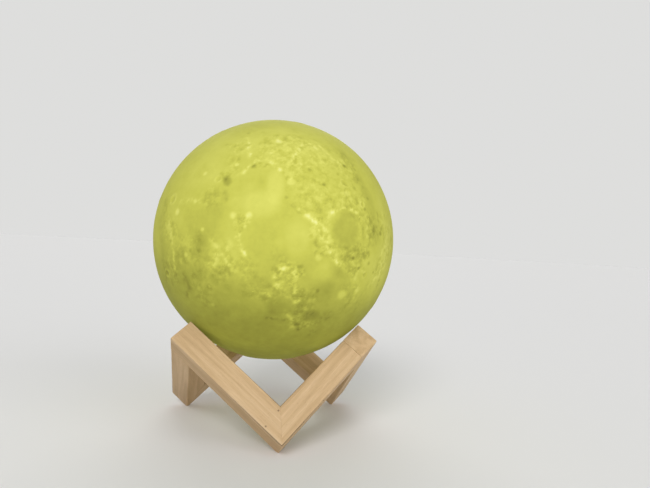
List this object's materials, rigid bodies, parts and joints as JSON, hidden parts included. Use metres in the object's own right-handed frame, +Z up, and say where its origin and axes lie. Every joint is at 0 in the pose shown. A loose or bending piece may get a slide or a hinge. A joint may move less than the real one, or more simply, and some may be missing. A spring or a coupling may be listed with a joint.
{
  "type": "moon lamp",
  "caption": "Table lamp: a printed moon globe with a rechargeable light unit inside, lying on a stand of square wooden battens joined in V shapes.",
  "frame": {"origin": "on the table, under the middle of the globe", "axes": "+Z up through the globe's middle; -Y towards the front V of the stand; +X to its right"},
  "size_m": [0.15, 0.1497, 0.1891],
  "materials": {
    "wood_batten": "fine sanded, unvarnished, pale grain",
    "wood_dowel": "turned, unvarnished",
    "globe_print": "printed relief, translucent, lit warm yellow from inside",
    "ring_chrome": "polished",
    "white_plastic": "fine moulded satin",
    "button_plastic": "polished",
    "black_plastic": "moulded",
    "pin_brass": "plated",
    "screw_steel": "zinc plated",
    "board_green": "lacquered board",
    "light_pipe": "clear, polished",
    "led_red": "clear lens",
    "wire_white": "insulated wire",
    "wire_red": "insulated wire",
    "cell_sleeve": "shrink sleeve",
    "tab_nickel": "nickel strip",
    "foam": "closed cell foam",
    "led_board_metal": "white lacquer over aluminium",
    "led_amber": "amber resin"
  },
  "bodies": {
    "stand": {"front_long_batten": "wood_batten", "front_short_batten": "wood_batten", "right_long_batten": "wood_batten", "right_short_batten": "wood_batten", "left_long_batten": "wood_batten", "left_short_batten": "wood_batten", "joint_dowels": "wood_dowel"},
    "globe": {"moon_shell": "globe_print", "touch_ring": "ring_chrome", "base_plate": "white_plastic", "base_housing": "white_plastic", "battery_tube": "white_plastic", "tube_cap": "white_plastic", "charging_socket": "black_plastic", "switch_body": "black_plastic", "board_chips": "black_plastic", "socket_pin": "pin_brass", "plate_screws": "screw_steel", "board_screws": "screw_steel", "tube_screws": "screw_steel", "led_screws": "screw_steel", "switch_spring": "screw_steel", "control_board": "board_green", "charge_light": "light_pipe", "charge_led": "led_red", "touch_lead": "wire_white", "supply_leads": "wire_red", "battery_cell": "cell_sleeve", "battery_tabs": "tab_nickel", "cell_pad": "foam", "led_board": "led_board_metal", "led_chips": "led_amber"},
    "button": {"power_button": "button_plastic", "switch_plunger": "button_plastic"}
  },
  "joints": [
    {"name": "globe_lift", "type": "slide", "parent": "stand", "child": "globe", "axis": [0, 0, 1], "range_m": [0, 0.035]},
    {"name": "power_button_press", "type": "slide", "parent": "globe", "child": "button", "axis": [0, 0, 1], "range_m": [0, 0.0015], "stiffness_N_per_m": 300, "springref_m": -0.0015, "deforming": ["switch_spring"]}
  ]
}
